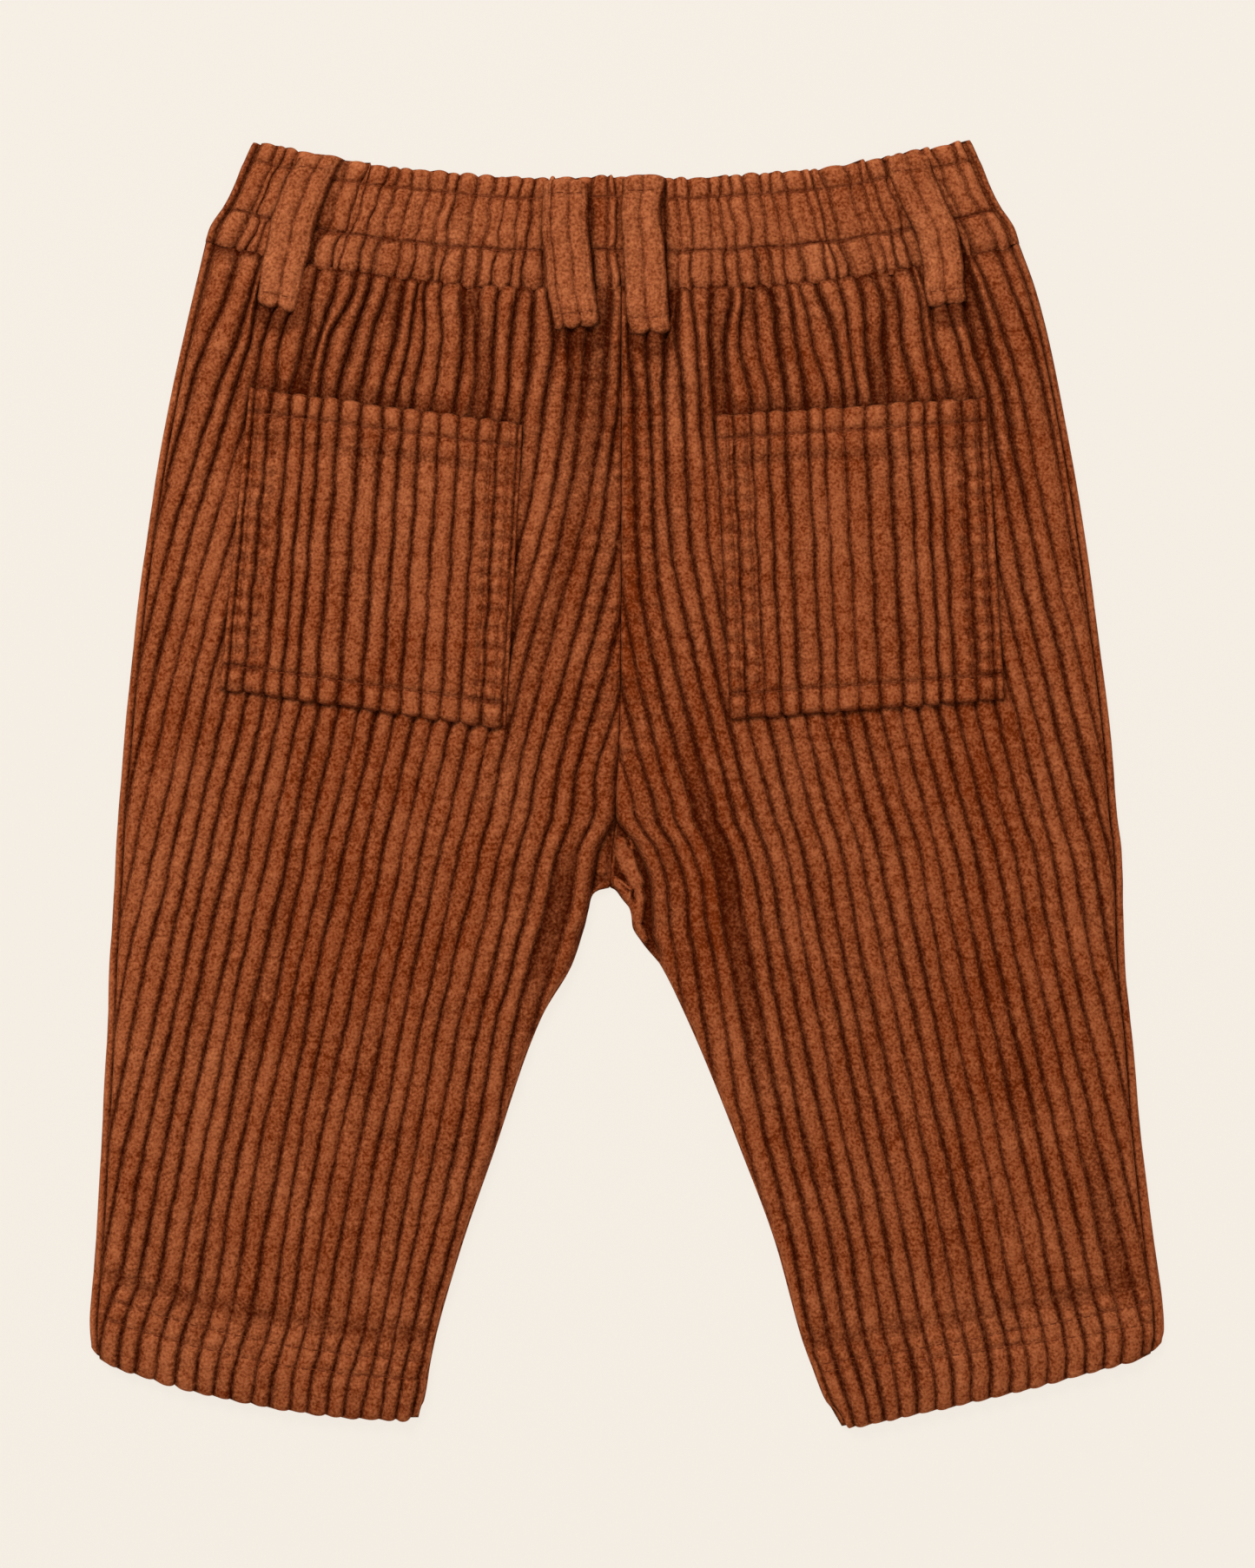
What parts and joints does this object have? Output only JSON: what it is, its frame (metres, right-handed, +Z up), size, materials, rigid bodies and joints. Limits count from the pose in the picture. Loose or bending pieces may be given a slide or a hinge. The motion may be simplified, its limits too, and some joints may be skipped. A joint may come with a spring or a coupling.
{
  "type": "corduroy baby trousers laid flat",
  "caption": "Pull-on trousers in wide-wale corduroy laid flat with the back upwards: gathered elastic waistband, belt loops, patch pockets and turned-up hems.",
  "frame": {"origin": "centre of the bounding box, at its underside, on the surface that the trousers lie on", "axes": "+X towards the wearer's right side, +Y towards the waist, +Z up out of the surface, through the back of the trousers"},
  "size_m": [0.3096, 0.3713, 0.0101],
  "materials": {
    "corduroy": "rust-brown wide-wale cotton corduroy, matt pile",
    "corduroy_waistband": "the same corduroy, gathered over elastic",
    "corduroy_pocket": "the same corduroy, stitched down",
    "corduroy_loop": "the same corduroy, folded into a strap"
  },
  "bodies": {
    "root": {"front_left": "corduroy", "front_right": "corduroy", "back_left": "corduroy", "back_right": "corduroy", "waistband_front": "corduroy_waistband", "waistband_back": "corduroy_waistband", "pocket_left": "corduroy_pocket", "pocket_right": "corduroy_pocket", "belt_loop_1": "corduroy_loop", "belt_loop_2": "corduroy_loop", "belt_loop_3": "corduroy_loop", "belt_loop_4": "corduroy_loop"}
  },
  "joints": []
}
